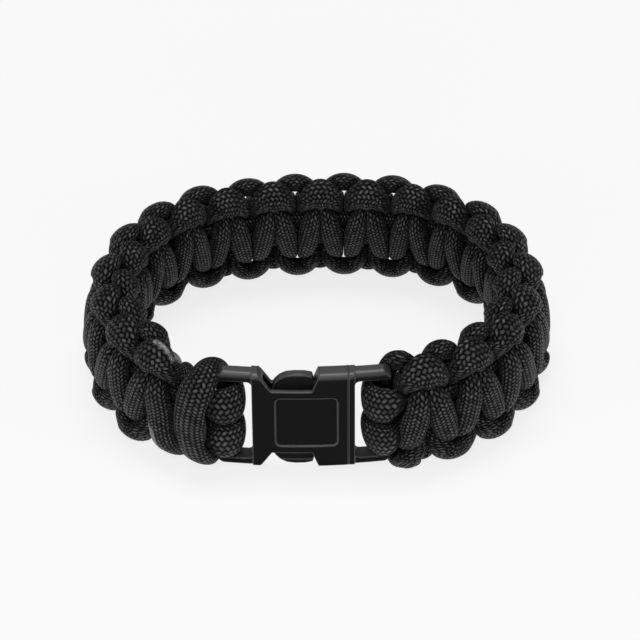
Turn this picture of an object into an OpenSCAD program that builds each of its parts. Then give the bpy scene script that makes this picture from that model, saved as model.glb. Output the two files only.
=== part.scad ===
// Paracord bracelet: a cobra weave of one cord round two core strands,
// closed by a small curved side release buckle. It stands on its lower edge,
// with the buckle in front. Millimetres, +Z up, origin under the middle.

/* [Loop] */
// Radius of the gentle front arc that carries the buckle
front_r = 87; // [70:1:110]
// Half of the turn that the front arc makes, in degrees
front_turn = 9.1; // [8.8:0.1:11]
// Radius of the tight bend at each side
side_r = 25.6; // [23:0.1:32]
// Turn at which a side bend runs into the rear arc, in degrees
side_turn = 168.6; // [165:0.2:171]
// Turn by which the buckle sits off the middle of the front arc
buckle_turn = 2.2; // [0:0.1:2.5]
// Angle at which the lower edge of the loop spreads outward
flare = 5.6; // [0:0.1:8]

/* [Cord] */
// Diameter of the cord where nothing presses it
cord_d = 4.4; // [3.8:0.1:4.6]
// Gap kept between strands that lie together
strand_gap = 0.48; // [0.3:0.02:0.6]

/* [Weave] */
// Length of one full knot along the loop, which is two crossings
knot_l = 8.69; // [8.2:0.01:9.4]
// Middle of the strap to the middle of a bight at its edge
bight_w = 8.1; // [7.8:0.1:8.8]
// Loop's mid-line to the middle of a strand that crosses a face
cross_n = 3.2; // [3.1:0.1:3.6]
// Middle of the strap to the middle of each core strand
core_w = 2.0; // [1.9:0.1:2.3]
// End bar of the plug to the first crossing
start_l = 4.4; // [4.2:0.1:5]
// Last crossing to the end bar of the socket
finish_l = 9.7; // [9.4:0.1:11]

/* [Buckle] */
// Length of the closed buckle over its end bars
buckle_l = 28.8; // [28:0.1:32]
// Width of the buckle
buckle_w = 18.5; // [18:0.1:19.2]
// Thickness of the body
body_t = 3.7; // [3.5:0.1:4.4]
// Thickness of the rails
rail_t = 3; // [2.8:0.1:3.2]
// Width of each rail
rail_w = 1.6; // [1.4:0.1:2]
// Diameter of each end bar
bar_d = 1.9; // [1.6:0.1:2]
// Length of the slot between an end bar and the body
slot_l = 4.0; // [3.9:0.1:4.6]
// Depth of the plug's base in front of its own slot
base_l = 1.1; // [1:0.1:1.5]
// Length of the socket's mouth, where it has its full width
mouth_l = 4.7; // [4:0.1:5.2]
// Width of the socket's waist, between the two release tabs
waist_w = 12.2; // [11.8:0.1:12.6]
// Wall of the socket on each face
wall_t = 0.9; // [0.8:0.05:1]
// Wall of the socket beside the spring arms
side_wall = 1.2; // [1.1:0.05:1.3]
// Width of each spring arm
arm_t = 2.4; // [2.2:0.05:2.5]
// Half width of the guide tongue
tongue_w = 1.1; // [1:0.05:1.2]
// Clearance of the plug inside the socket
fit_gap = 0.2; // [0.15:0.05:0.25]
// Radius of the buckle's long edges
edge_r = 1.0; // [0.8:0.1:1.2]
// Length of the bare panel on the front face
panel_l = 11.2; // [9:0.1:11.4]
// Panel centre from the buckle's middle
panel_shift = 0.5; // [0.3:0.05:0.7]
// Width of the bare panel on the front face
panel_w = 10.4; // [9:0.1:10.8]
// Width of the raised rim round the panel
rim_w = 0.45; // [0.3:0.05:0.6]
// Depth of the panel under its rim
panel_depth = 0.25; // [0.15:0.05:0.3]

/* [Hidden] */
SIDES = 8;
BIG = 1000;
ROUND_FN = 48;

// Loop's mid-line, as tangent arcs of radius and turn from the buckle's middle
rear_r = (front_r * sin(front_turn) + side_r * (sin(side_turn) - sin(front_turn))) / sin(side_turn);
ARCS = [
    [front_r, front_turn + buckle_turn],
    [side_r, side_turn - front_turn],
    [rear_r, 2 * (180 - side_turn)],
    [side_r, side_turn - front_turn],
    [front_r, front_turn - buckle_turn]
];
function arc_l(i) = ARCS[i][0] * ARCS[i][1] * PI / 180;
function arc_s(i) = i == 0 ? 0 : arc_s(i - 1) + arc_l(i - 1);
function arc_heading(i) = i == 0 ? 0 : arc_heading(i - 1) + ARCS[i - 1][1];
function arc_step(r, h, turn) = r * [sin(h + turn) - sin(h), cos(h) - cos(h + turn)];
function arc_p(i) =
    i == 0 ? [0, 0] : arc_p(i - 1) + arc_step(ARCS[i - 1][0], arc_heading(i - 1), ARCS[i - 1][1]);
ARC_S = [for (i = [0:5]) arc_s(i)];
ARC_HEADING = [for (i = [0:4]) arc_heading(i)];
ARC_P = [for (i = [0:4]) arc_p(i)];
loop_l = ARC_S[5];

// Place and heading of the mid-line at a distance s from the buckle's middle
function loop_frame(s) =
    let (
        m = s - floor(s / loop_l) * loop_l,
        i = max([for (k = [0:4]) m >= ARC_S[k] ? k : 0]),
        turn = (m - ARC_S[i]) / ARCS[i][0] * 180 / PI,
        p = ARC_P[i] + arc_step(ARCS[i][0], ARC_HEADING[i], turn)
    )
    [p[0], p[1], ARC_HEADING[i] + turn];

// Weave: crossings lie half a knot apart, from the plug round to the socket
bar_s = (buckle_l - bar_d) / 2;
first_s = bar_s + start_l;
last_s = loop_l - bar_s - finish_l;
crossings = 1 + round((last_s - first_s) / (knot_l / 2));
half_l = (last_s - first_s) / (crossings - 1);

// Half a knot, from the middle of a crossing to the top of the bight after it.
// Lengths are shares of half a knot, bight_w, cross_n, cord_d and cord_d.
//   along, out, up, facing angle, half width, half thickness
HALF_KNOT = [
    [0.00, 0.00, 1.00, 0, 0.49, 0.38],
    [-0.21, 0.48, 0.86, 20, 0.42, 0.38],
    [-0.32, 0.66, 0.02, 78, 0.23, 0.48],
    [-0.09, 0.88, -0.52, 117, 0.45, 0.38],
    [0.50, 1.05, -0.68, 136, 0.63, 0.37]
];
// The outer cord's way from the plug's upper lobe to its first crossing.
// Along is a share of start_l from the bar, the rest as above.
LEAD_OUTER = [
    [0.18, 0.43, -0.87, 178, 0.35, 0.25],
    [0.25, 0.51, -0.93, 176, 0.36, 0.27],
    [0.27, 0.76, -0.98, 172, 0.34, 0.29],
    [0.55, 0.97, -0.88, 150, 0.46, 0.32]
];
// The inner cord's way from the plug's lower lobe, under the rail's end
LEAD_INNER = [
    [0.19, -0.42, -0.87, 182, 0.32, 0.25],
    [0.24, -0.52, -0.94, 184, 0.34, 0.26],
    [0.22, -0.86, -1.03, 190, 0.36, 0.28],
    [0.43, -1.10, -0.74, 230, 0.26, 0.25],
    [0.52, -1.16, 0.04, 270, 0.36, 0.24],
    [0.76, -1.08, 0.54, 305, 0.50, 0.30]
];
// The outer cord's last turn round the lower edge, which no bight covers.
// Along is a share of half a knot from the last crossing.
LAST_TURN = [
    [0.60, -0.98, -0.62, 232, 0.41, 0.31],
    [0.50, -0.99, 0.34, 290, 0.41, 0.33],
    [0.28, -0.62, 1.12, 336, 0.34, 0.31]
];
// Half of the core cord at the plug's bar: up from the core, over the bar,
// through the slot and back. Along is a share of cord_d from the bar's middle,
// out of bight_w and up of cross_n.
//   along, out, up, half width, half thickness
PLUG_LOBE = [
    [-0.10, 0.41, -0.83, 0.54, 0.25],
    [-0.31, 0.39, -0.71, 0.60, 0.26],
    [-0.55, 0.38, -0.32, 0.66, 0.27],
    [-0.55, 0.38, 0.32, 0.66, 0.27],
    [-0.23, 0.38, 0.77, 0.66, 0.28],
    [0.10, 0.37, 0.81, 0.58, 0.27],
    [0.43, 0.27, 0.36, 0.30, 0.23],
    [0.78, 0.24, -0.03, 0.25, 0.25]
];
// The same at the socket's bar, and on to the band across the front
SOCKET_LOBE = [
    [1.25, 0.25, 0.02, 0.30, 0.26],
    [0.80, 0.27, 0.08, 0.35, 0.27],
    [0.45, 0.31, 0.48, 0.50, 0.29],
    [0.14, 0.37, 0.80, 0.64, 0.28],
    [-0.23, 0.38, 0.77, 0.66, 0.28],
    [-0.55, 0.38, 0.32, 0.66, 0.27],
    [-0.55, 0.38, -0.32, 0.66, 0.27],
    [-0.23, 0.39, -0.78, 0.62, 0.27],
    [0.14, 0.50, -0.98, 0.54, 0.27],
    [0.45, 0.75, -1.09, 0.42, 0.26],
    [0.75, 0.94, -0.48, 0.36, 0.28],
    [0.80, 0.93, 0.48, 0.44, 0.30],
    [0.92, 0.65, 1.14, 0.57, 0.31],
    [0.98, 0.00, 1.31, 0.59, 0.31]
];

function unit(v) = v / norm(v);

// One strand's centre in strap coordinates [along, out, up], with the crossing
// of its level 0 at along 0. side is where level 0 leaves to, face its face.
function half_knot_p(u) =
    let (
        f = min(u * 2, 1) * (len(HALF_KNOT) - 1),
        i = min(floor(f), len(HALF_KNOT) - 2),
        r = HALF_KNOT[i] + (HALF_KNOT[i + 1] - HALF_KNOT[i]) * (f - i)
    )
    [r[0] * half_l, r[1] * bight_w, r[2] * cross_n];
function even_sign(j) = j - 2 * floor(j / 2) < 0.5 ? 1 : -1;
function strand_p(t, side, face) =
    let (
        j = floor(t),
        u = t - j,
        p = half_knot_p(u <= 0.5 ? u : 1 - u),
        along = u <= 0.5 ? p[0] : half_l - p[0]
    )
    [j * half_l + along, side * even_sign(j) * p[1], face * p[2]];

// Distance that a vertex may stand out from c along d before it passes half
// way to the neighbour q
function reach(c, d, q) =
    let (
        v = q - c,
        l = norm(v),
        h = v * d
    )
    h > 0.01 ? max(0.25, (l * l - strand_gap * l) / (2 * h)) : BIG;

// One ring of SIDES vertices: a flattened section, cut back from its neighbours
function ring(c, t, up, wide, thick, near) =
    let (
        e2 = unit(up - (up * t) * t),
        e1 = cross(t, e2)
    )
    [for (k = [0:SIDES - 1])
        let (
            a = 360 / SIDES * k,
            v = wide * cos(a) * e1 + thick * sin(a) * e2,
            d = unit(v),
            r = min(concat([norm(v)], [for (q = near) reach(c, d, q)]))
        )
        c + r * d];

// Rings of the half knot, worked out once for a level that leaves upward
RINGS = len(HALF_KNOT) - 1;
NEAR_STEP = 1 / 16;
near_self = [for (t = [-2.5:NEAR_STEP:3.5]) [t, strand_p(t, 1, 1)]];
near_other = [for (t = [-2.5:NEAR_STEP:3.5]) strand_p(t, -1, -1)];
near_core = [for (s = [-2:0.25:3], w = [-core_w, core_w]) [s * half_l, w, 0]];
KNOT = [for (i = [0:RINGS])
    let (
        r = HALF_KNOT[i],
        t = i / (2 * RINGS),
        dt = 1 / (2 * RINGS),
        own = [for (q = near_self) if (abs(q[0] - t) > 0.42) q[1]],
        heading = unit(strand_p(t + dt, 1, 1) - strand_p(t - dt, 1, 1))
    )
    ring(strand_p(t, 1, 1), heading, [0, sin(r[3]), cos(r[3])], r[4] * cord_d, r[5] * cord_d,
        concat(own, near_other, near_core))];

// The q-th ring after the crossing of level j, in strap coordinates
function knot_ring(j, q, side, face) =
    let (
        row = q <= RINGS ? q : 2 * RINGS - q,
        sw = side * even_sign(j),
        flip = sw * face < 0
    )
    [for (k = [0:SIDES - 1])
        let (
            v = KNOT[row][flip ? (SIDES + SIDES / 2 - k) % SIDES : k],
            along = q <= RINGS ? v[0] : half_l - v[0]
        )
        [first_s + j * half_l + along, sw * v[1], face * v[2]]];

// Rings through a list of centres, with a width axis carried from ring to ring
function path_heading(p, i) =
    unit(p[min(i + 1, len(p) - 1)] - p[max(i - 1, 0)]);
function carried_axis(p, i, first) =
    let (
        t = path_heading(p, i),
        a = i == 0 ? first : carried_axis(p, i - 1, first)
    )
    unit(a - (a * t) * t);

// Lead-in of a working cord, clear of the strands that it passes
function lead_p(row) = [bar_s + row[0] * start_l, row[1] * bight_w, row[2] * cross_n];
function lead_rings(rows, side, face, near) =
    let (p = concat([for (r = rows) lead_p(r)], [[first_s, 0, 0] + strand_p(-0.375, side, face)]))
    [for (i = [0:len(rows) - 1])
        ring(p[i], path_heading(p, i), [0, sin(rows[i][3]), cos(rows[i][3])],
            rows[i][4] * cord_d, rows[i][5] * cord_d, near)];

OUTER_SIDE = -1;
INNER_SIDE = 1;
function start_near(side, face) =
    [for (t = [-0.375:NEAR_STEP:2]) [first_s, 0, 0] + strand_p(t, side, face)];
near_outer_start = start_near(OUTER_SIDE, 1);
near_inner_start = start_near(INNER_SIDE, -1);
lead_outer_path = [for (r = LEAD_OUTER) lead_p(r)];
lead_inner_path = [for (r = LEAD_INNER) lead_p(r)];
last_turn_path = [for (r = LAST_TURN) turn_p(r)];
rail_ends = [for (x = [buckle_l / 2 - 1, loop_l - buckle_l / 2 + 1], w = [-1, 1])
    [x, w * (buckle_w - rail_w) / 2, 0]];

// Rings of a whole working cord: lead-in, half a bight before the first
// crossing, every level, the last turn, and the cut end after it
function working_rings(lead, side, face, near, last_turn) = concat(
    lead_rings(lead, side, face, near),
    [for (q = [RINGS + 1:2 * RINGS - 1]) knot_ring(-1, q, side, face)],
    [for (j = [0:crossings - 3], q = [0:2 * RINGS - 1]) knot_ring(j, q, side, face)],
    [for (q = [0:len(last_turn) > 0 ? RINGS : 2 * RINGS - 1]) knot_ring(crossings - 2, q, side, face)],
    last_turn,
    [for (q = [0:RINGS - 1]) knot_ring(crossings - 1, q, side, face)]
);
function turn_p(row) = [last_s + row[0] * half_l, row[1] * bight_w, row[2] * cross_n];
function last_turn_rings(near) =
    let (
        p = concat([[first_s, 0, 0] + strand_p(crossings - 1.5, OUTER_SIDE, 1)],
            [for (r = LAST_TURN) turn_p(r)], [[last_s, 0, cross_n]])
    )
    [for (i = [1:len(LAST_TURN)])
        let (r = LAST_TURN[i - 1])
        ring(p[i], path_heading(p, i), [0, sin(r[3]), cos(r[3])], r[4] * cord_d, r[5] * cord_d, near)];

// Core cord: plug lobe, core strand, socket lobe and half of the band
function lobe_p(row, bar, away) =
    [bar + away * row[0] * cord_d, row[1] * bight_w, row[2] * cross_n];
core_path = concat(
    [for (r = PLUG_LOBE) lobe_p(r, bar_s, 1)],
    [for (j = [0.25:1:crossings - 1]) [first_s + j * half_l, core_w, 0]],
    [for (r = SOCKET_LOBE) lobe_p(r, loop_l - bar_s, -1)]
);
core_size = concat(
    [for (r = PLUG_LOBE) [r[3], r[4]]],
    [for (j = [0.25:1:crossings - 1]) [0.34, 0.30]],
    [for (r = SOCKET_LOBE) [r[3], r[4]]]
);
function end_near(side, face) =
    [for (t = [crossings - 3:NEAR_STEP:crossings - 0.7]) [first_s, 0, 0] + strand_p(t, side, face)];
near_ends = concat(near_outer_start, near_inner_start, end_near(OUTER_SIDE, 1), end_near(INNER_SIDE, -1),
    lead_outer_path, lead_inner_path, last_turn_path, rail_ends);
plug_rows = len(PLUG_LOBE);
core_half = [for (i = [0:len(core_path) - 1])
    let (
        t = path_heading(core_path, i),
        axis = carried_axis(core_path, i, [0, 1, 0]),
        near = i < plug_rows || i >= len(core_path) - len(SOCKET_LOBE) ? near_ends : []
    )
    ring(core_path[i], t, cross(axis, t), core_size[i][0] * cord_d, core_size[i][1] * cord_d, near)];
function mirrored(ring_v) = [for (v = ring_v) [v[0], -v[1], v[2]]];

core_rings = concat(core_half, [for (i = [len(core_half) - 2:-1:0]) mirrored(core_half[i])]);
outer_rings = working_rings(LEAD_OUTER, OUTER_SIDE, 1,
    concat(near_inner_start, lead_inner_path, rail_ends),
    last_turn_rings(concat(end_near(INNER_SIDE, -1), end_near(OUTER_SIDE, 1))));
inner_rings = working_rings(LEAD_INNER, INNER_SIDE, -1,
    concat(near_outer_start, lead_outer_path, rail_ends,
        [for (p = near_inner_start) if (p[0] > bar_s + 3) p]),
    []);

// From strap coordinates to the standing loop, first about the buckle's middle
function loop_point(p) =
    let (
        f = loop_frame(p[0]),
        n = p[2] - p[1] * tan(flare)
    )
    [f[0] + n * sin(f[2]), f[1] - n * cos(f[2]), p[1]];
CLOUD = [for (r = concat(core_rings, outer_rings, inner_rings), v = r) loop_point(v)];
low = [for (i = [0:2]) min([for (p = CLOUD) p[i]])];
high = [for (i = [0:2]) max([for (p = CLOUD) p[i]])];
middle = [(low[0] + high[0]) / 2, (low[1] + high[1]) / 2, low[2]];
function strap_point(p) = loop_point(p) - middle;

// A closed tube through rings given in strap coordinates
module tube(rings) {
    n = len(rings);
    points = [for (r = rings, v = r) strap_point(v)];
    sides = [for (i = [0:n - 2], k = [0:SIDES - 1])
        let (
            a = i * SIDES + k,
            b = i * SIDES + (k + 1) % SIDES
        )
        each [[a, b, b + SIDES], [a, b + SIDES, a + SIDES]]];
    first = [for (k = [1:SIDES - 2]) [0, k + 1, k]];
    last = [for (k = [1:SIDES - 2]) (n - 1) * SIDES * [1, 1, 1] + [0, k, k + 1]];
    polyhedron(points = points, faces = concat(sides, first, last), convexity = 20);
}

module working_cord_outer() {
    color("#26282b")
        tube(outer_rings);
}

module working_cord_inner() {
    color("#303236")
        tube(inner_rings);
}

module core_cord() {
    color("#1c1e21")
        tube(core_rings);
}

// Buckle frame: X along the buckle, Z across it, outer face towards -Y
module in_buckle_frame() {
    translate(-middle) rotate([-flare, 0, 0]) children();
}

// A curved slab of thickness t about the buckle's contour, with round edges
module curved_slab(t, w, r) {
    translate([0, front_r, 0]) rotate([0, 0, -105]) rotate_extrude(angle = 30, $fn = ROUND_FN * 4)
        translate([front_r, 0]) {
            square([t, w - 2 * r], center = true);
            square([t - 2 * r, w], center = true);
            for (x = [-1, 1], y = [-1, 1])
                translate([x * (t / 2 - r), y * (w / 2 - r)]) circle(r, $fn = ROUND_FN);
        }
}

// Front view outline, drawn along X and Z, cut from the slab
module outline_cut(points) {
    rotate([90, 0, 0]) linear_extrude(4 * body_t, center = true) polygon(points);
}

body_s = buckle_l / 2 - bar_d - slot_l;
seam_s = body_s - base_l;
half_w = buckle_w / 2;
half_waist = waist_w / 2;
mouth_s = seam_s - mouth_l;
shoulder_s = -body_s + 1;
waist_s = shoulder_s + 2.2;
function both_ways(upper) = concat(upper, [for (i = [len(upper) - 1:-1:0]) [upper[i][0], -upper[i][1]]]);
function bar_y() = front_r - sqrt(front_r * front_r - bar_s * bar_s);

module rounded_rect(l, w, r) {
    square([l, w - 2 * r], center = true);
    square([l - 2 * r, w], center = true);
    for (x = [-1, 1], y = [-1, 1])
        translate([x * (l / 2 - r), y * (w / 2 - r)]) circle(r, $fn = ROUND_FN);
}

// Two rails from the body's end to the free end, joined by the round end bar
module end_frame(way) {
    far = buckle_l / 2;
    rail = both_ways([
        [way * (body_s - 0.5), half_w + 1], [way * (far - 1.3), half_w + 0.1], [way * far, half_w - 1.2]]);
    difference() {
        intersection() {
            curved_slab(rail_t, buckle_w, edge_r);
            outline_cut(rail);
        }
        rotate([90, 0, 0]) linear_extrude(4 * body_t, center = true)
            translate([way * far, 0]) rounded_rect(2 * (far - body_s), buckle_w - 2 * rail_w, 0.8);
    }
    translate([way * bar_s, bar_y(), 0])
        cylinder(h = buckle_w - 1.7 * rail_w, d = bar_d, center = true, $fn = ROUND_FN);
}

// The bare panel is sunk inside a thin rim that stays level with the face
module panel_recess() {
    intersection() {
        difference() {
            curved_slab(body_t + 2, buckle_w - 1, 0.4);
            curved_slab(body_t - 2 * panel_depth, buckle_w + 1, 0.4);
        }
        translate([panel_shift, -body_t / 2, 0]) rotate([90, 0, 0])
            linear_extrude(body_t, center = true)
                rounded_rect(panel_l - 2 * rim_w, panel_w - 2 * rim_w, 0.9);
    }
}

module buckle_socket() {
    body = both_ways([
        [-body_s, half_w + 1], [shoulder_s, half_w], [waist_s, half_waist],
        [mouth_s - 1.3, half_waist], [mouth_s, half_w + 0.2], [seam_s, half_w + 1]]);
    cavity = both_ways([[shoulder_s + 0.5, half_w - side_wall], [seam_s + 1, half_w - side_wall]]);
    color("#2f3134") in_buckle_frame() {
        difference() {
            intersection() {
                curved_slab(body_t, buckle_w, edge_r);
                outline_cut(body);
            }
            intersection() {
                curved_slab(body_t - 2 * wall_t, buckle_w - 0.6, 0.4);
                outline_cut(cavity);
            }
            panel_recess();
        }
        end_frame(-1);
    }
}

// Guide tongue and two spring arms, whose release tabs bulge through the waist
module plug_prongs() {
    arm_w = half_w - side_wall - fit_gap;
    tab_x = mouth_s - 1.3;
    tab_l = tab_x - waist_s - fit_gap;
    tab_h = half_w - 0.3 - half_waist;
    tab = [for (a = [56:20.5:179])
        [tab_x - 0.35 * tab_l + 0.65 * tab_l * cos(a), half_waist + tab_h * sin(a)]];
    prongs = both_ways(concat(
        [[seam_s + 0.5, arm_w], [mouth_s - 0.2, arm_w], [tab_x + 0.5, half_waist + 0.6]],
        tab,
        [[waist_s + fit_gap, half_waist - 1.8], [tab_x, arm_w - arm_t], [seam_s - 0.9, arm_w - arm_t],
        [seam_s - 0.9, tongue_w], [waist_s, tongue_w]]));
    intersection() {
        curved_slab(body_t - 2 * wall_t - 2 * fit_gap, buckle_w - 0.1, 0.8);
        outline_cut(prongs);
    }
}

module buckle_plug() {
    base = both_ways([[seam_s + 0.08, half_w + 1], [body_s, half_w + 1]]);
    color("#2b2d30") in_buckle_frame() {
        intersection() {
            curved_slab(body_t, buckle_w, edge_r);
            outline_cut(base);
        }
        end_frame(1);
        plug_prongs();
    }
}

buckle_socket();
buckle_plug();
core_cord();
working_cord_outer();
working_cord_inner();
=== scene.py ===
"""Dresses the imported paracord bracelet: braided cords, cut ends, moulded buckle, floor and lights."""

import math

import bpy
import numpy as np
from mathutils import Matrix, Vector


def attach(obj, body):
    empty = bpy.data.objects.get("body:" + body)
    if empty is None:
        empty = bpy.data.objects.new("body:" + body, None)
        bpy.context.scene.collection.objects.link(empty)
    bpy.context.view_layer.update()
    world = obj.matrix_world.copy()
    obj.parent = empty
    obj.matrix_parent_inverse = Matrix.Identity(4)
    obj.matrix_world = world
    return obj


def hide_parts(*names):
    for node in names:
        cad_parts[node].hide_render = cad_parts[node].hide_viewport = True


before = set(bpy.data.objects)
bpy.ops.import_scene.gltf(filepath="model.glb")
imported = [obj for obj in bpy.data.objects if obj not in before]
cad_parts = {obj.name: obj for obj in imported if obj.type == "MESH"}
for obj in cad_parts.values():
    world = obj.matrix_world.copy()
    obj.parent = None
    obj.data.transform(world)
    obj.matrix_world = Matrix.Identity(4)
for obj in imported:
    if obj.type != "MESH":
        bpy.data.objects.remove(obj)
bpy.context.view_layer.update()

bl_info = {
    "name": "Paracord Bracelet",
    "version": (1, 0, 0),
    "blender": (4, 5, 0),
    "location": "3D View > Sidebar > Bracelet",
    "description": "Builds a cobra weave bracelet with a side release buckle",
    "category": "Add Mesh",
}

MM = 0.001

# Middle of the closed buckle, in the row frame
BUCKLE_MIDDLE = np.array([-2.276, -27.347, 10.715]) * MM

# Each table of rows below carries a strand from place to place, in strap coordinates: along the
# strap from the buckle's middle, out towards its upper edge, up from its mid-line. Out is a share of
# bight_w, up a share of cross_n, facing is in degrees, half width and thickness are shares of cord_d.

# Half a knot, from the middle of a crossing to the top of the bight after it.
# Along is a share of half a knot.
#   along, out, up, facing, half width, half thickness
HALF_KNOT = (
    (0.00, 0.00, 1.00, 0, 0.50, 0.40),
    (-0.22, 0.43, 0.87, 18, 0.46, 0.39),
    (-0.31, 0.61, 0.10, 78, 0.33, 0.46),
    (-0.08, 0.84, -0.48, 114, 0.41, 0.39),
    (0.18, 1.01, -0.58, 124, 0.60, 0.39),
    (0.50, 1.06, -0.60, 130, 0.68, 0.39),
)
# Ways from the plug's lobes into the weave. Along is a share of start_l from the bar.
#   along, out, up, facing, half width, half thickness
LEAD_OUTER = (
    (-0.02, 0.41, -0.83, 180, 0.54, 0.26),
    (0.20, 0.45, -0.89, 178, 0.50, 0.28),
    (0.27, 0.60, -0.97, 175, 0.44, 0.29),
    (0.34, 0.80, -0.98, 168, 0.44, 0.30),
    (0.58, 0.96, -0.88, 148, 0.52, 0.34),
)
LEAD_INNER = (
    (-0.02, -0.41, -0.83, 180, 0.54, 0.26),
    (0.19, -0.47, -0.90, 184, 0.46, 0.28),
    (0.24, -0.62, -0.98, 187, 0.40, 0.28),
    (0.25, -0.86, -1.03, 192, 0.38, 0.28),
    (0.42, -1.10, -0.75, 229, 0.35, 0.27),
    (0.52, -1.16, 0.05, 270, 0.42, 0.26),
    (0.77, -1.08, 0.55, 305, 0.54, 0.32),
)
# The outer cord's last turn round the lower edge. Along is a share of half a knot.
#   along, out, up, facing, half width, half thickness
LAST_TURN = (
    (0.60, -0.98, -0.62, 232, 0.46, 0.35),
    (0.50, -1.00, 0.34, 290, 0.48, 0.34),
    (0.28, -0.62, 1.10, 336, 0.46, 0.36),
)
# Core cord at the bars. Along is a share of cord_d from the bar's middle.
#   along, out, up, half width, half thickness
PLUG_LOBE = (
    (-0.02, 0.42, -0.83, 0.58, 0.26),
    (-0.31, 0.42, -0.72, 0.68, 0.28),
    (-0.57, 0.42, -0.32, 0.76, 0.28),
    (-0.57, 0.42, 0.32, 0.78, 0.28),
    (-0.27, 0.42, 0.78, 0.78, 0.29),
    (0.10, 0.41, 0.84, 0.74, 0.30),
    (0.40, 0.33, 0.44, 0.54, 0.30),
    (0.76, 0.26, -0.02, 0.42, 0.30),
)
SOCKET_LOBE = (
    (1.25, 0.25, 0.00, 0.42, 0.31),
    (0.80, 0.27, 0.06, 0.44, 0.31),
    (0.45, 0.33, 0.50, 0.58, 0.30),
    (0.14, 0.41, 0.82, 0.76, 0.30),
    (-0.25, 0.42, 0.78, 0.78, 0.29),
    (-0.56, 0.42, 0.32, 0.78, 0.28),
    (-0.56, 0.42, -0.32, 0.76, 0.28),
    (-0.23, 0.42, -0.78, 0.68, 0.28),
    (0.14, 0.49, -0.98, 0.58, 0.28),
    (0.44, 0.76, -1.08, 0.52, 0.29),
    (0.66, 0.94, -0.48, 0.54, 0.31),
    (0.66, 0.94, 0.48, 0.62, 0.32),
    (0.78, 0.69, 1.14, 0.68, 0.33),
    (0.94, 0.00, 1.31, 0.68, 0.33),
)

# A core strand inside the weave: how far past a crossing its rows lie, in shares of half a knot,
# and its half width and half thickness in shares of cord_d
CORE_ROW_PAST = 0.25
CORE_HALF_W = 0.55
CORE_HALF_T = 0.42
# How much of a knot's stray moves its bight out, and its crossing in
BIGHT_STRAY = 0.6
CROSSING_STRAY = 0.4

# Melted runs on the last turns: name, cord, first and last ring from the cut end, the way that
# they face (along, out, up), and the sides of a ring that they cover each way from the middle
SMEARS = (
    ("upper_smear", "inner", -43, -31, (0.0, 0.96, 0.1), 1),
    ("lower_smear", "outer", -26, -17, (-0.6, -0.2, 0.9), 2),
)
SMEAR_RISE = 0.16 * MM
SMEAR_EDGE = 0.03 * MM
SMEAR_ROOT = 0.12 * MM
# Melted cap of a cut end
CAP_LAYERS = 7
CAP_SPREAD = 1.03
CAP_RISE = 0.6 * MM

# The lip that closes the seam between the buckle's halves: its section, and the layers of its
# length as place from the seam and share of the section
SEAM = 7.44 * MM
LIP_HALF_W = 9.12 * MM
LIP_HALF_T = 1.72 * MM
LIP_SQUARE = 0.25
LIP_LAYERS = ((-0.25 * MM, 0.97), (-0.15 * MM, 1), (0.25 * MM, 1), (0.35 * MM, 0.97))

# Rings of a strand, and how its neighbours press on them
RING_SIDES = 32
RINGS_PER_ROW = 5
CORE_RINGS_PER_ROW = 7
SECTION_POWER = 2.1
PRESS_SOFTNESS = 0.24 * MM
NEAR_REACH = 9 * MM
SKIP_ALONG = 5.8 * MM
CLOSEST_RADIUS = 0.2 * MM
OPEN_ROOM = 1.0
BEND_SHARE = 0.92
TINY = 1e-5

# Braid of the sheath and detail of the other surfaces. Scales are cells in a metre.
PICKS_IN_REPEAT = 4.0
PICK_END_POWER = 1.8
SHEATH_WEAR_SCALE = 260
SHEATH_FUZZ_SCALE = 4200
PICK_RELIEF = 0.20 * MM
MELT_LUMP_SCALE = 900
MELT_PATCH_SCALE = 420
MELT_RELIEF = 0.2 * MM
BURNT_COLOUR = (0.03, 0.03, 0.032, 1)
BUCKLE_GRAIN_SCALE = 3800
BUCKLE_SWIRL_SCALE = 190
BUCKLE_GRAIN_RELIEF = 0.04 * MM
BUCKLE_EDGE_R = 0.40 * MM
# Painted highlight on the buckle's edges: how fast the edge mask rises and how much it lightens the
# colour
EDGE_HIGHLIGHT_GAIN = 7
EDGE_HIGHLIGHT_TONE = 12
# Painted light on the buckle's upward faces: how much it lightens them and how fast it falls off as they
# turn
TOP_LIGHT_TONE = 18
TOP_LIGHT_POWER = 1.5

FLOOR_REACH = 3.0
FLOOR_CLOUD_SCALE = 9
ROOM_LIGHT = 0.12
# name, place, aim, size, power
LIGHTS = (
    ("overhead", (0.0, 0.12, 0.70), (0, 0, 0), (0.45, 0.25), 3.2),
    ("high_front", (-0.08, -0.42, 0.62), (0, 0, 0.01), (0.16, 0.09), 1.2),
    ("low_front", (0.0, -0.70, 0.18), (0, 0, 0.01), (0.50, 0.10), 1.7),
    ("low_left", (-0.66, -0.30, 0.18), (0, 0, 0.01), (0.25, 0.12), 1.5),
    ("low_right", (0.66, -0.25, 0.18), (0, 0, 0.01), (0.25, 0.12), 1.5),
)

# Camera, in metres, degrees and millimetres of lens, aimed at the middle of the loop
CAMERA_TARGET = BUCKLE_MIDDLE + np.array([2.85, 25.2, 0.22]) * MM
CAMERA_DISTANCE = 490.8 * MM
CAMERA_ELEVATION = 38.85
CAMERA_ROLL = -0.44
CAMERA_LENS = 160.2
CAMERA_SENSOR = 36


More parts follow.
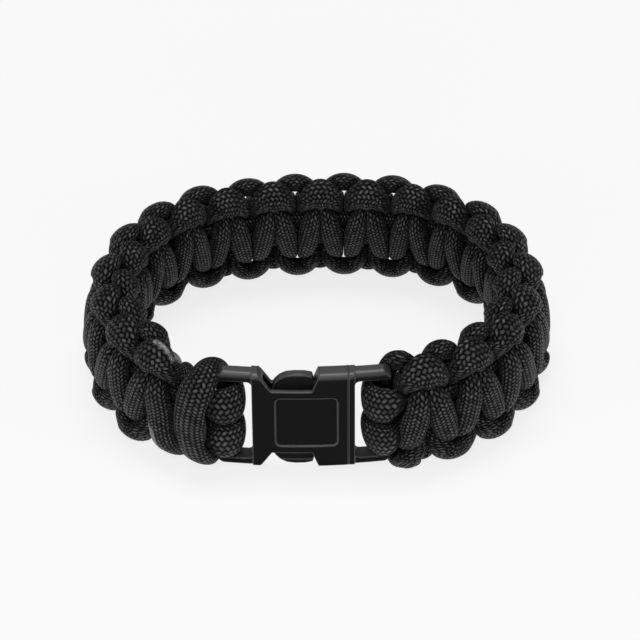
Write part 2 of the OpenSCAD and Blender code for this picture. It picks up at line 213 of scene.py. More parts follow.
class StrapSizes(bpy.types.PropertyGroup):
    """Sizes of the loop and the weave, as in the frame"""

    front_r: bpy.props.FloatProperty(
        name="Front radius", description="Radius of the front arc that carries the buckle",
        default=87 * MM, unit="LENGTH")
    front_turn: bpy.props.FloatProperty(
        name="Front turn", description="Half of the front arc's turn",
        default=math.radians(9.1), subtype="ANGLE")
    side_r: bpy.props.FloatProperty(
        name="Side radius", description="Radius of the tight bend at each side",
        default=25.6 * MM, unit="LENGTH")
    side_turn: bpy.props.FloatProperty(
        name="Side turn", description="Turn at which a side bend runs into the rear arc",
        default=math.radians(168.6), subtype="ANGLE")
    buckle_turn: bpy.props.FloatProperty(
        name="Buckle turn", description="Turn of the buckle off the middle of the front",
        default=math.radians(2.2), subtype="ANGLE")
    flare: bpy.props.FloatProperty(
        name="Flare", description="Outward lean of the lower edge",
        default=math.radians(5.6), subtype="ANGLE")
    cord_d: bpy.props.FloatProperty(
        name="Cord", description="Diameter of the free cord", default=4.4 * MM, unit="LENGTH")
    bight_w: bpy.props.FloatProperty(
        name="Bight", description="Middle of the strap to the middle of a bight",
        default=8.1 * MM, unit="LENGTH")
    cross_n: bpy.props.FloatProperty(
        name="Crossing", description="Mid-line to the middle of a crossing strand",
        default=3.2 * MM, unit="LENGTH")
    core_w: bpy.props.FloatProperty(
        name="Core", description="Middle of the strap to a core strand",
        default=2.2 * MM, unit="LENGTH")
    bar_s: bpy.props.FloatProperty(
        name="End bar", description="Buckle's middle to the middle of an end bar",
        default=13.45 * MM, unit="LENGTH")
    start_l: bpy.props.FloatProperty(
        name="Start", description="Plug's bar to the first crossing",
        default=4.4 * MM, unit="LENGTH")
    finish_l: bpy.props.FloatProperty(
        name="Finish", description="Last crossing to the socket's bar",
        default=9.7 * MM, unit="LENGTH")
    knot_l: bpy.props.FloatProperty(
        name="Knot", description="Length of one full knot", default=8.69 * MM, unit="LENGTH")
    crease: bpy.props.FloatProperty(
        name="Crease", description="Gap left where strands press together",
        default=0.04 * MM, unit="LENGTH")
    wander: bpy.props.FloatProperty(
        name="Wander", description="How far each hand-tied knot strays",
        default=0.16 * MM, unit="LENGTH")


class BraceletLook(bpy.types.PropertyGroup):
    """Colours and surface detail"""

    cord_colour: bpy.props.FloatVectorProperty(
        name="Cord", description="Colour of the braided sheath", subtype="COLOR", size=3,
        default=(0.0218, 0.0220, 0.0231), min=0, max=1)
    # Painted shade: the near-black colour laid into the creases between the sheath's picks, where shadow
    # falls
    crease_shade_colour: bpy.props.FloatVectorProperty(
        name="Between picks", description="Colour between the sheath's picks", subtype="COLOR",
        size=3, default=(0.0010, 0.0010, 0.0012), min=0, max=1)
    melt_colour: bpy.props.FloatVectorProperty(
        name="Melted end", description="Colour of the melted cut ends", subtype="COLOR", size=3,
        default=(0.20, 0.19, 0.19), min=0, max=1)
    buckle_colour: bpy.props.FloatVectorProperty(
        name="Buckle", description="Colour of the moulded buckle", subtype="COLOR", size=3,
        default=(0.0028, 0.0028, 0.0028), min=0, max=1)
    floor_colour: bpy.props.FloatVectorProperty(
        name="Floor", description="Colour of the floor", subtype="COLOR", size=3,
        default=(0.14, 0.14, 0.14), min=0, max=1)
    floor_glow: bpy.props.FloatProperty(
        name="Floor glow", description="Light that the backlit floor gives off itself",
        default=0.80, min=0)
    picks: bpy.props.IntProperty(
        name="Picks", description="Sheath strands of each hand round the cord", default=20, min=4)
    pick_l: bpy.props.FloatProperty(
        name="Pick length", description="Length along the cord in which a pick moves one place",
        default=0.60 * MM, unit="LENGTH")


def sizes():
    """The strap's sizes, as set in the sidebar."""
    return bpy.context.scene.bracelet_sizes


def look():
    """The colours and surface detail, as set in the sidebar."""
    return bpy.context.scene.bracelet_look


def unit_rows(v):
    """The vectors of a table, each brought to length 1."""
    return v / np.linalg.norm(v, axis=-1, keepdims=True)


class Loop:
    """The strap's mid-line: tangent arcs from the buckle's middle round to it again."""

    def __init__(self, z):
        rear_r = (z.front_r * math.sin(z.front_turn)
                  + z.side_r * (math.sin(z.side_turn) - math.sin(z.front_turn))) / math.sin(z.side_turn)
        arcs = (
            (z.front_r, z.front_turn + z.buckle_turn),
            (z.side_r, z.side_turn - z.front_turn),
            (rear_r, 2 * (math.pi - z.side_turn)),
            (z.side_r, z.side_turn - z.front_turn),
            (z.front_r, z.front_turn - z.buckle_turn),
        )
        self.radius = np.array([a[0] for a in arcs])
        turns = np.array([a[1] for a in arcs])
        self.start = np.concatenate([[0], np.cumsum(self.radius * turns)])
        self.heading = np.concatenate([[0], np.cumsum(turns)])[:-1]
        points = [np.zeros(2)]
        for r, h, turn in zip(self.radius, self.heading, turns):
            points.append(points[-1] + self.step(r, h, turn))
        self.point = np.array(points[:-1])
        self.length = self.start[-1]
        self.lean = math.tan(z.flare)

    @staticmethod
    def step(r, h, turn):
        """The way that an arc of radius r covers from heading h in a turn."""
        return np.stack([r * (np.sin(h + turn) - np.sin(h)), r * (np.cos(h) - np.cos(h + turn))], -1)

    def place(self, strap):
        """Strap coordinates (along, out, up) to the row frame."""
        s = np.mod(strap[..., 0], self.length)
        i = np.clip(np.searchsorted(self.start, s, side="right") - 1, 0, len(self.radius) - 1)
        turn = (s - self.start[i]) / self.radius[i]
        xy = self.point[i] + self.step(self.radius[i], self.heading[i], turn)
        h = self.heading[i] + turn
        n = strap[..., 2] - strap[..., 1] * self.lean
        world = np.stack([xy[..., 0] + n * np.sin(h), xy[..., 1] - n * np.cos(h), strap[..., 1]], -1)
        return world + BUCKLE_MIDDLE


class Weave:
    """Places of the crossings along the loop, and the rows that carry each cord through them."""

    def __init__(self, z, loop):
        self.z = z
        self.loop = loop
        self.first = z.bar_s + z.start_l
        self.last = loop.length - z.bar_s - z.finish_l
        self.crossings = 1 + round((self.last - self.first) / (z.knot_l / 2))
        self.half = (self.last - self.first) / (self.crossings - 1)
        self.stray = np.random.default_rng(7).normal(0, z.wander, (2, self.crossings + 2, 4))

    def facing_row(self, along, row, side=1, face=1):
        """One control row: place, facing, half width and half thickness."""
        z = self.z
        turn = math.radians(row[3])
        return [along, side * row[1] * z.bight_w, face * row[2] * z.cross_n,
                0, side * math.sin(turn), face * math.cos(turn), row[4] * z.cord_d, row[5] * z.cord_d]

    def knot_rows(self, level, side, face, first, last):
        """Rows first to last of one level: out to its bight and back to the next crossing."""
        top = len(HALF_KNOT) - 1
        sign = side * (1 if level % 2 == 0 else -1)
        _, drop, puff, sink = self.stray[0 if face > 0 else 1, level + 1]
        rows = []
        for q in range(first, last):
            row = HALF_KNOT[q] if q <= top else HALF_KNOT[2 * top - q]
            along = row[0] * self.half if q <= top else (1 - row[0]) * self.half
            moved = self.facing_row(self.first + level * self.half + along, row, sign, face)
            share = row[1] ** 2
            moved[0] += drop * share
            moved[1] += sign * puff * share * BIGHT_STRAY
            moved[2] += face * sink * CROSSING_STRAY * (1 - share)
            rows.append(moved)
        return rows

    def working_rows(self, lead, side, face, last_turn):
        """A working cord from the plug's bar through every knot to its cut end."""
        z = self.z
        top = len(HALF_KNOT) - 1
        rows = [self.facing_row(z.bar_s + r[0] * z.start_l, r) for r in lead]
        rows += self.knot_rows(-1, side, face, top + 1, 2 * top)
        for level in range(self.crossings - 2):
            rows += self.knot_rows(level, side, face, 0, 2 * top)
        rows += self.knot_rows(self.crossings - 2, side, face, 0, top + 1 if last_turn else 2 * top)
        rows += [self.facing_row(self.last + r[0] * self.half, r) for r in last_turn]
        return np.array(rows + self.knot_rows(self.crossings - 1, side, face, 0, top - 1))

    def core_rows(self):
        """The core cord: upper strand, then back along the lower one, which mirrors it."""
        z = self.z

        def lobe(rows, bar, away):
            return [[bar + away * r[0] * z.cord_d, r[1] * z.bight_w, r[2] * z.cross_n,
                     0, 0, 0, r[3] * z.cord_d, r[4] * z.cord_d] for r in rows]

        strand = [[self.first + (j + CORE_ROW_PAST) * self.half, z.core_w, 0, 0, 0, 0,
                   CORE_HALF_W * z.cord_d, CORE_HALF_T * z.cord_d]
                  for j in range(0, self.crossings - 1, 2)]
        rows = np.array(lobe(PLUG_LOBE, z.bar_s, 1) + strand
                        + lobe(SOCKET_LOBE, self.loop.length - z.bar_s, -1))
        lower = rows[-2::-1].copy()
        lower[:, 1] *= -1
        return np.concatenate([rows, lower])


def smooth_rows(rows, per_row):
    """A smooth curve through every row, with all its columns."""
    padded = np.concatenate([[2 * rows[0] - rows[1]], rows, [2 * rows[-1] - rows[-2]]])
    t = (np.arange(per_row) / per_row)[:, None]
    out = []
    for i in range(1, len(padded) - 2):
        p0, p1, p2, p3 = padded[i - 1:i + 3]
        out.append(0.5 * (2 * p1 + (p2 - p0) * t + (2 * p0 - 5 * p1 + 4 * p2 - p3) * t ** 2
                          + (3 * p1 - p0 - 3 * p2 + p3) * t ** 3))
    return np.concatenate(out + [rows[-1:]])


def carried_axes(tangent, first):
    """A width axis kept square to the curve from ring to ring."""
    axes = np.empty_like(tangent)
    axis = first
    for i, t in enumerate(tangent):
        axis = axis - (axis @ t) * t
        axis /= np.linalg.norm(axis)
        axes[i] = axis
    return axes


class Strand:
    """A cord's centre line and free sections, before its neighbours press on it."""

    def __init__(self, rows, per_row, first_axis=None):
        curve = smooth_rows(rows, per_row)
        self.centre = curve[:, :3]
        self.tangent = unit_rows(np.gradient(self.centre, axis=0))
        if first_axis is None:
            up = curve[:, 3:6]
            up = up - (up * self.tangent).sum(1, keepdims=True) * self.tangent
            self.thick_axis = unit_rows(up)
            self.wide_axis = np.cross(self.tangent, self.thick_axis)
        else:
            self.wide_axis = carried_axes(self.tangent, first_axis)
            self.thick_axis = np.cross(self.wide_axis, self.tangent)
        self.half_w = curve[:, 6]
        self.half_t = curve[:, 7]
        step = np.linalg.norm(np.diff(self.centre, axis=0), axis=1)
        self.length = np.concatenate([[0], np.cumsum(step)])
        bend = np.gradient(self.tangent, axis=0) / np.maximum(np.gradient(self.length), 1e-9)[:, None]
        self.bend = bend - (bend * self.tangent).sum(1, keepdims=True) * self.tangent

    def section(self, i):
        """Directions and free radii of ring i."""
        a = np.arange(RING_SIDES) * 2 * math.pi / RING_SIDES
        flat = np.stack([self.half_w[i] * np.cos(a), self.half_t[i] * np.sin(a)], 1)
        d2 = flat / np.linalg.norm(flat, axis=1, keepdims=True)
        free = ((np.abs(d2[:, 0]) / self.half_w[i]) ** SECTION_POWER
                + (np.abs(d2[:, 1]) / self.half_t[i]) ** SECTION_POWER) ** (-1 / SECTION_POWER)
        return d2[:, :1] * self.wide_axis[i] + d2[:, 1:] * self.thick_axis[i], free


def pressed_rings(strand, others, crease):
    """Rings of a strand, held back where a neighbour or its own bend leaves less room.

    Two strands share the room between them half and half, less the crease.
    """
    own = strand.centre
    cloud = np.concatenate([other.centre for other in others])
    rings = np.empty((len(own), RING_SIDES, 3))
    for i, c in enumerate(own):
        d, free = strand.section(i)
        away = np.abs(strand.length - strand.length[i]) > SKIP_ALONG
        near = np.concatenate([cloud[np.abs(cloud - c).max(1) < NEAR_REACH],
                               own[away & (np.abs(own - c).max(1) < NEAR_REACH)]])
        room = np.full(RING_SIDES, OPEN_ROOM)
        if len(near):
            v = near - c
            l2 = (v * v).sum(1)
            h = d @ v.T
            half_way = (l2 * 0.5 - crease * np.sqrt(l2) / 2) / np.maximum(h, TINY)
            room = np.where(h > TINY, half_way, OPEN_ROOM).min(1)
        bend = d @ strand.bend[i]
        inside = np.where(bend > 1, BEND_SHARE / np.maximum(bend, 1), OPEN_ROOM)
        every = np.stack([free, np.maximum(room, CLOSEST_RADIUS), inside], 1)
        low = every.min(1)
        soft = low - PRESS_SOFTNESS * np.log(np.exp((low[:, None] - every) / PRESS_SOFTNESS).sum(1))
        rings[i] = c + d * np.maximum(soft, CLOSEST_RADIUS)[:, None]
    return rings


def tube_object(name, rings, lengths, material):
    """A closed tube through the rings, with U round the cord and V in metres along it."""
    count, sides = rings.shape[:2]
    ring, k = np.meshgrid(np.arange(count - 1), np.arange(sides), indexing="ij")
    a = ring * sides + k
    b = ring * sides + (k + 1) % sides
    quads = np.stack([a, b, b + sides, a + sides], -1).reshape(-1, 4)
    caps = [list(range(sides))[::-1], list((count - 1) * sides + np.arange(sides))]
    mesh = bpy.data.meshes.new(name)
    faces = quads.tolist() + [[int(v) for v in cap] for cap in caps]
    mesh.from_pydata(rings.reshape(-1, 3).tolist(), [], faces)
    uv = mesh.uv_layers.new(name="along_cord")
    u0, v0 = k / sides, lengths[ring]
    u1, v1 = (k + 1) / sides, lengths[ring + 1]
    corners = np.stack([np.stack([u0, v0], -1), np.stack([u1, v0], -1),
                        np.stack([u1, v1], -1), np.stack([u0, v1], -1)], 2).reshape(-1, 2)
    caps_uv = np.tile([[0.0, 0.0]], (2 * sides, 1))
    uv.data.foreach_set("uv", np.concatenate([corners, caps_uv]).astype(np.float32).ravel())
    mesh.polygons.foreach_set("use_smooth", [True] * len(mesh.polygons))
    mesh.materials.append(material)
    mesh.update()
    obj = bpy.data.objects.new(name, mesh)
    bpy.context.scene.collection.objects.link(obj)
    return obj


class Nodes:
    """Short calls for the shader nodes that the materials use."""

    def __init__(self, name):
        self.material = bpy.data.materials.new(name)
        self.material.use_nodes = True
        self.tree = self.material.node_tree
        self.shader = self.tree.nodes["Principled BSDF"]

    def add(self, kind, **values):
        node = self.tree.nodes.new(kind)
        for key, value in values.items():
            setattr(node, key, value)
        return node

    def link(self, out, socket):
        self.tree.links.new(out, socket)

    def feed(self, socket, value):
        """Link an output to the socket, or set a constant on the socket itself."""
        if isinstance(value, bpy.types.NodeSocket):
            self.link(value, socket)
        else:
            socket.default_value = value

    def math(self, operation, a, b=0.0):
        node = self.add("ShaderNodeMath", operation=operation)
        self.feed(node.inputs[0], a)
        self.feed(node.inputs[1], b)
        return node.outputs[0]

    def mix(self, share, a, b, blend="MIX"):
        node = self.add("ShaderNodeMix", data_type="RGBA", blend_type=blend)
        for socket, value in zip((node.inputs[0], node.inputs[6], node.inputs[7]), (share, a, b)):
            self.feed(socket, value)
        return node.outputs[2]

    def noise(self, vector, scale, detail):
        node = self.add("ShaderNodeTexNoise")
        node.inputs["Scale"].default_value = scale
        node.inputs["Detail"].default_value = detail
        self.link(vector, node.inputs["Vector"])
        return node.outputs["Fac"]

    def bump(self, height, strength, distance, under=None):
        """Raise the surface by height, over the normal of another node where one is given."""
        node = self.add("ShaderNodeBump")
        node.inputs["Strength"].default_value = strength
        node.inputs["Distance"].default_value = distance
        self.link(height, node.inputs["Height"])
        if under is not None:
            self.link(under, node.inputs["Normal"])
        self.link(node.outputs[0], self.shader.inputs["Normal"])


def cord_material(name, colour, crease, picks, pick_l):
    """Braided sheath: two hands of picks that pass over two and under two, with painted shade darkening
    the creases between the picks.
    """
    n = Nodes(name)
    uv = n.add("ShaderNodeUVMap", uv_map="along_cord")
    split = n.add("ShaderNodeSeparateXYZ")
    n.link(uv.outputs[0], split.inputs[0])
    around = n.math("MULTIPLY", split.outputs[0], picks)
    along = n.math("MULTIPLY", split.outputs[1], 1 / pick_l)
    a = n.math("ADD", around, along)
    b = n.math("SUBTRACT", around, along)
    in_a, in_b = n.math("FRACT", a), n.math("FRACT", b)
    cell_a, cell_b = n.math("FLOOR", a), n.math("FLOOR", b)
    phase = n.math("FLOORED_MODULO", n.math("ADD", n.math("ADD", cell_a, cell_b), 0.5), PICKS_IN_REPEAT)
    first_hand = n.math("LESS_THAN", phase, PICKS_IN_REPEAT / 2)
    second_hand = n.math("SUBTRACT", 1, first_hand)

    def from_middle(place):
        return n.math("ABSOLUTE", n.math("SUBTRACT", n.math("MULTIPLY", place, 2), 1))

    def pick(across, place):
        round_side = n.math("SUBTRACT", 1, n.math("POWER", from_middle(across), 2.0))
        round_end = n.math("SUBTRACT", 1, n.math("POWER", from_middle(place), PICK_END_POWER))
        return n.math("MULTIPLY", n.math("SQRT", n.math("MAXIMUM", round_side, 0)),
                      n.math("MAXIMUM", round_end, 0))

    low = n.math("SUBTRACT", phase, 0.5)
    place_a = n.math("MULTIPLY", n.math("ADD", low, in_a), 0.5)
    place_b = n.math("MULTIPLY", n.math("SUBTRACT", n.math("ADD", low, in_b), 2), 0.5)
    height = n.math("ADD", n.math("MULTIPLY", first_hand, pick(in_b, place_a)),
                    n.math("MULTIPLY", second_hand, pick(in_a, place_b)))
    start_a = n.math("SUBTRACT", cell_a, n.math("FLOOR", phase))
    start_b = n.math("SUBTRACT", cell_b, n.math("FLOOR", phase))
    pick_id = n.add("ShaderNodeCombineXYZ")
    n.link(n.math("MULTIPLY", n.math("ADD", start_a, cell_b), first_hand), pick_id.inputs[0])
    n.link(n.math("ADD", n.math("MULTIPLY", cell_b, first_hand),
                  n.math("MULTIPLY", cell_a, second_hand)), pick_id.inputs[1])
    n.link(n.math("MULTIPLY", n.math("ADD", start_b, cell_a), second_hand), pick_id.inputs[2])
    chance = n.add("ShaderNodeTexWhiteNoise", noise_dimensions="3D")
    n.link(pick_id.outputs[0], chance.inputs["Vector"])
    coords = n.add("ShaderNodeTexCoord")
    worn = n.noise(coords.outputs["Object"], SHEATH_WEAR_SCALE, 2)
    fuzz = n.noise(coords.outputs["Object"], SHEATH_FUZZ_SCALE, 4)
    own = n.math("ADD", 0.45, n.math("MULTIPLY", chance.outputs["Value"], 0.75))
    # Painted shade: the base colour runs from the crease colour between picks up to the cord colour on
    # their crowns
    crown = n.math("MULTIPLY", height, height)
    tone = n.mix(n.math("MULTIPLY", crown, own), (*crease, 1), (*colour, 1))
    shade = n.math("ADD", 0.55, n.math("MULTIPLY", worn, 0.8))
    tinted = n.mix(1.0, tone, n.mix(shade, (0, 0, 0, 1), (1, 1, 1, 1)), "MULTIPLY")
    n.link(tinted, n.shader.inputs["Base Color"])
    rough = n.math("ADD", 0.38, n.math("MULTIPLY", n.math("ADD", fuzz, worn), 0.12))
    n.link(rough, n.shader.inputs["Roughness"])
    # Painted shade and highlight: the reflection is kept to the picks' crowns and taken out of the
    # creases between them
    gloss = n.math("MULTIPLY", crown, n.math("MULTIPLY", own, 0.80))
    n.link(gloss, n.shader.inputs["Specular IOR Level"])
    lift = n.math("ADD", n.math("MULTIPLY", height, own), n.math("MULTIPLY", fuzz, 0.2))
    n.bump(lift, 1.0, PICK_RELIEF)
    n.shader.inputs["Sheen Weight"].default_value = 0.04
    n.shader.inputs["Sheen Roughness"].default_value = 0.4
    return n.material


def melt_material(colour):
    """Nylon that a flame has melted and let set: glassy, lumpy, paler than the sheath."""
    n = Nodes("melted_nylon")
    coords = n.add("ShaderNodeTexCoord")
    lumps = n.noise(coords.outputs["Object"], MELT_LUMP_SCALE, 4)
    patches = n.noise(coords.outputs["Object"], MELT_PATCH_SCALE, 2)
    clear = n.math("GREATER_THAN", patches, 0.52)
    tone = n.mix(n.math("MULTIPLY", n.math("ADD", clear, lumps), 0.5), BURNT_COLOUR, (*colour, 1))
    n.link(tone, n.shader.inputs["Base Color"])
    n.link(n.math("ADD", 0.12, n.math("MULTIPLY", lumps, 0.35)), n.shader.inputs["Roughness"])
    n.bump(lumps, 0.8, MELT_RELIEF)
    return n.material


def buckle_material(colour):
    """Moulded acetal: satin, fine grain, with painted highlights on its edges and painted light on what
    faces up.
    """
    n = Nodes("buckle_acetal")

    def toned(gain):
        return (*[min(1, c * gain) for c in colour], 1)

    coords = n.add("ShaderNodeTexCoord")
    grain = n.noise(coords.outputs["Object"], BUCKLE_GRAIN_SCALE, 3)
    swirl = n.noise(coords.outputs["Object"], BUCKLE_SWIRL_SCALE, 3)
    broken_edge = n.add("ShaderNodeBevel")
    broken_edge.samples = 8
    broken_edge.inputs["Radius"].default_value = BUCKLE_EDGE_R
    surface = n.add("ShaderNodeNewGeometry")
    meet = n.add("ShaderNodeVectorMath", operation="DOT_PRODUCT")
    n.link(broken_edge.outputs[0], meet.inputs[0])
    n.link(surface.outputs["True Normal"], meet.inputs[1])
    turned = n.math("SUBTRACT", 1, meet.outputs["Value"])
    # Painted highlight: where the bevelled normal turns off the flat face, the edge is lightened and
    # made more reflective
    painted_edge_highlight = n.math("MINIMUM", n.math("MULTIPLY", turned, EDGE_HIGHLIGHT_GAIN), 1)
    way = n.add("ShaderNodeSeparateXYZ")
    n.link(broken_edge.outputs[0], way.inputs[0])
    # Painted light: faces that turn up are lightened, as the lamps above would light them
    painted_top_light = n.math("POWER", n.math("MAXIMUM", way.outputs[2], 0), TOP_LIGHT_POWER)
    tone = n.mix(n.math("MULTIPLY", swirl, 0.8), toned(0.75), toned(1.5))
    top_lit_tone = n.mix(painted_top_light, tone, toned(TOP_LIGHT_TONE))
    # Base colour: painted edge highlight laid over painted top light over the random swirl tone
    n.link(n.mix(painted_edge_highlight, top_lit_tone, toned(EDGE_HIGHLIGHT_TONE)), n.shader.inputs["Base Color"])
    marks = n.math("ADD", n.math("MULTIPLY", swirl, 0.16), n.math("MULTIPLY", grain, 0.10))
    n.link(n.math("ADD", 0.30, marks), n.shader.inputs["Roughness"])
    # Painted highlight and painted top light: the reflection is raised on the edges and on faces that
    # turn up
    n.link(n.math("ADD", 0.03, n.math("MULTIPLY", n.math("MAXIMUM", painted_edge_highlight, painted_top_light), 0.6)),
           n.shader.inputs["Specular IOR Level"])
    n.bump(grain, 0.3, BUCKLE_GRAIN_RELIEF, broken_edge.outputs[0])
    return n.material


def floor_material(colour, glow):
    """Pale matt board, lit a little from below."""
    n = Nodes("studio_floor")
    coords = n.add("ShaderNodeTexCoord")
    cloud = n.noise(coords.outputs["Object"], FLOOR_CLOUD_SCALE, 3)
    tone = n.mix(cloud, (*[c * 0.985 for c in colour], 1), (*colour, 1))
    n.link(tone, n.shader.inputs["Base Color"])
    n.shader.inputs["Roughness"].default_value = 0.85
    n.shader.inputs["Specular IOR Level"].default_value = 0.1
    n.shader.inputs["Emission Color"].default_value = (1, 1, 1, 1)
    n.shader.inputs["Emission Strength"].default_value = glow
    return n.material


CORDS = ("core", "outer", "inner")
_strands = {}


def strands():
    """All the cords' strands, made once and shared, because each presses on the others."""
    if not _strands:
        z = sizes()
        weave = Weave(z, Loop(z))
        _strands["weave"] = weave
        _strands["core"] = Strand(weave.core_rows(), CORE_RINGS_PER_ROW, np.array([0.0, 1.0, 0.0]))
        _strands["outer"] = Strand(weave.working_rows(LEAD_OUTER, -1, 1, LAST_TURN), RINGS_PER_ROW)
        _strands["inner"] = Strand(weave.working_rows(LEAD_INNER, 1, -1, ()), RINGS_PER_ROW)
    return _strands


def build_cord(key, node, material):
    """One cord's braid, pressed by the two others, in place of its node."""
    made = strands()
    strand = made[key]
    others = [made[k] for k in CORDS if k != key]
    rings = pressed_rings(strand, others, sizes().crease)
    made[key + "_rings"] = rings
    world = made["weave"].loop.place(rings)
    obj = tube_object(key + "_cord_braid", world, strand.length, material)
    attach(obj, "root")
    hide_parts(node)
    return obj


def melted_piece(name, layers, material):
    """A small piece of melted nylon on a cord, from layers in strap coordinates."""
    world = strands()["weave"].loop.place(np.array(layers))
    obj = tube_object(name, world, np.arange(len(layers)) * MM, material)
    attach(obj, "root")
    return obj


def melt_cap(name, rings, way, material):
    """A rounded bead over a cut end: its last ring drawn in and pushed out."""
    last = rings[-1]
    middle = last.mean(0)
    layers = [rings[-2]]
    for i in range(CAP_LAYERS):
        a = i / CAP_LAYERS * math.pi / 2
        layers.append(middle + (last - middle) * math.cos(a) * CAP_SPREAD + way * math.sin(a) * CAP_RISE)
    return melted_piece(name, layers, material)


def melt_smear(name, rings, facing, reach, material):
    """A thin glossy run of melted nylon over a strand's side, rising to its middle."""
    arc = np.arange(-reach, reach + 1)
    layers = []
    for i, (ring, middle) in enumerate(zip(rings, rings.mean(1))):
        along = math.sin(math.pi * (i + 0.5) / len(rings))
        centre = int(np.argmax((ring - middle) @ facing))
        skin = ring[(centre + arc) % RING_SIDES]
        out = unit_rows(skin - middle)
        rise = SMEAR_RISE * along * np.cos(arc / (reach + 0.5) * math.pi / 2)
        layers.append(np.concatenate([skin + out * (rise - SMEAR_EDGE)[:, None],
                                      (skin - out * SMEAR_ROOT)[::-1]]))
    return melted_piece(name, layers, material)


def register_lip(material):
    """The thin lip of the plug's base that sits in the socket's mouth and closes the seam."""
    a = np.arange(RING_SIDES) * 2 * math.pi / RING_SIDES
    across = np.sign(np.cos(a)) * np.abs(np.cos(a)) ** LIP_SQUARE * LIP_HALF_W
    through = np.sign(np.sin(a)) * np.abs(np.sin(a)) ** LIP_SQUARE * LIP_HALF_T
    layers = [np.stack([np.full(RING_SIDES, SEAM + place), across * grow, through * grow], 1)
              for place, grow in LIP_LAYERS]
    world = strands()["weave"].loop.place(np.array(layers))
    obj = tube_object("register_lip", world, np.arange(len(layers)) * MM, material)
    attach(obj, "root")
    return obj


def sheath(name):
    """The braid's material in the colours and picks of the look."""
    skin = look()
    return cord_material(name, skin.cord_colour, skin.crease_shade_colour, skin.picks, skin.pick_l)


class BRACELET_OT_core_cord(bpy.types.Operator):
    """Doubles the core cord over the buckle's bars, with its band across the front"""

    bl_idname = "bracelet.core_cord"
    bl_label = "Core cord"

    def execute(self, context):
        build_cord("core", "core_cord", sheath("core_sheath"))
        return {"FINISHED"}


class BRACELET_OT_working_cords(bpy.types.Operator):
    """Knots the two working cords round the core"""

    bl_idname = "bracelet.working_cords"
    bl_label = "Working cords"

    def execute(self, context):
        braid = sheath("working_sheath")
        build_cord("outer", "working_cord_outer", braid)
        build_cord("inner", "working_cord_inner", braid)
        return {"FINISHED"}


class BRACELET_OT_cut_ends(bpy.types.Operator):
    """Melts the working cords' cut ends and lets a little run over the last turns"""

    bl_idname = "bracelet.cut_ends"
    bl_label = "Cut ends"

    def execute(self, context):
        made = strands()
        melt = melt_material(look().melt_colour)
        for key in ("outer", "inner"):
            melt_cap(key + "_cut_end", made[key + "_rings"], made[key].tangent[-1], melt)
        for name, key, first, last, facing, reach in SMEARS:
            melt_smear(name, made[key + "_rings"][first:last], np.array(facing), reach, melt)
        return {"FINISHED"}


class BRACELET_OT_buckle(bpy.types.Operator):
    """Gives the buckle's two mouldings their satin black finish and closes their seam"""

    bl_idname = "bracelet.buckle"
    bl_label = "Buckle"

    def execute(self, context):
        acetal = buckle_material(look().buckle_colour)
        register_lip(acetal)
        for node in ("buckle_socket", "buckle_plug"):
            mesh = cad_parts[node].data
            if not mesh.materials:
                mesh.materials.append(acetal)
            for i in range(len(mesh.materials)):
                mesh.materials[i] = acetal
        return {"FINISHED"}


def area_light(name, place, aim, size, power):
    """A soft rectangular lamp that faces aim."""
    data = bpy.data.lights.new(name, "AREA")
    data.shape = "RECTANGLE"
    data.size, data.size_y = size
    data.energy = power
    lamp = bpy.data.objects.new(name, data)
    lamp.location = place
    lamp.rotation_euler = (Vector(aim) - Vector(place)).to_track_quat("-Z", "Y").to_euler()
    bpy.context.scene.collection.objects.link(lamp)


def photo_camera():
    """The camera at the photo's angle."""
    up = math.radians(CAMERA_ELEVATION)
    data = bpy.data.cameras.new("photo_view")
    data.sensor_width = CAMERA_SENSOR
    data.lens = CAMERA_LENS
    data.clip_start, data.clip_end = 0.01, 10
    camera = bpy.data.objects.new("photo_view", data)
    back = Vector((0, -math.cos(up), math.sin(up)))
    turn = (-back).to_track_quat("-Z", "Y").to_matrix().to_4x4()
    camera.matrix_world = (Matrix.Translation(Vector(CAMERA_TARGET) + back * CAMERA_DISTANCE) @ turn
                           @ Matrix.Rotation(math.radians(CAMERA_ROLL), 4, "Z"))
    bpy.context.scene.collection.objects.link(camera)
    return camera


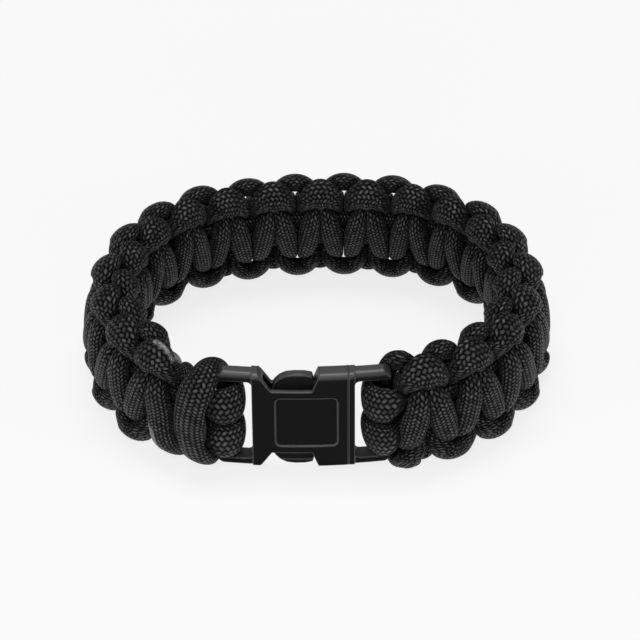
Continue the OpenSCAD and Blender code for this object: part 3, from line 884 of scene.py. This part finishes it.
class BRACELET_OT_stage(bpy.types.Operator):
    """Lays the pale floor, hangs the soft lights and sets the camera"""

    bl_idname = "bracelet.stage"
    bl_label = "Stage"

    def execute(self, context):
        scene = context.scene
        mesh = bpy.data.meshes.new("floor")
        r = FLOOR_REACH
        mesh.from_pydata([(-r, -r, 0), (r, -r, 0), (r, r, 0), (-r, r, 0)], [], [(0, 1, 2, 3)])
        mesh.materials.append(floor_material(look().floor_colour, look().floor_glow))
        floor = bpy.data.objects.new("floor", mesh)
        scene.collection.objects.link(floor)
        world = bpy.data.worlds.new("soft_room")
        world.use_nodes = True
        room = world.node_tree.nodes["Background"]
        room.inputs["Color"].default_value = (1, 1, 1, 1)
        room.inputs["Strength"].default_value = ROOM_LIGHT
        scene.world = world
        for light in LIGHTS:
            area_light(*light)
        scene.camera = photo_camera()
        scene.view_settings.view_transform = "Standard"
        return {"FINISHED"}


STEPS = (BRACELET_OT_stage, BRACELET_OT_core_cord, BRACELET_OT_working_cords, BRACELET_OT_cut_ends,
         BRACELET_OT_buckle)


class BRACELET_PT_panel(bpy.types.Panel):
    """Lists the bracelet's steps"""

    bl_idname = "BRACELET_PT_panel"
    bl_label = "Bracelet"
    bl_space_type = "VIEW_3D"
    bl_region_type = "UI"
    bl_category = "Bracelet"

    def draw(self, context):
        for step in STEPS:
            self.layout.operator(step.bl_idname)
        for group in (context.scene.bracelet_sizes, context.scene.bracelet_look):
            box = self.layout.box()
            for key in group.__annotations__:
                box.prop(group, key)


CLASSES = (StrapSizes, BraceletLook, *STEPS, BRACELET_PT_panel)


def register():
    for c in CLASSES:
        bpy.utils.register_class(c)
    bpy.types.Scene.bracelet_sizes = bpy.props.PointerProperty(type=StrapSizes)
    bpy.types.Scene.bracelet_look = bpy.props.PointerProperty(type=BraceletLook)


def unregister():
    del bpy.types.Scene.bracelet_look
    del bpy.types.Scene.bracelet_sizes
    for c in reversed(CLASSES):
        bpy.utils.unregister_class(c)


def main():
    register()
    for step in (bpy.ops.bracelet.stage, bpy.ops.bracelet.core_cord, bpy.ops.bracelet.working_cords,
                 bpy.ops.bracelet.cut_ends, bpy.ops.bracelet.buckle):
        step()


if __name__ == "__main__":
    main()
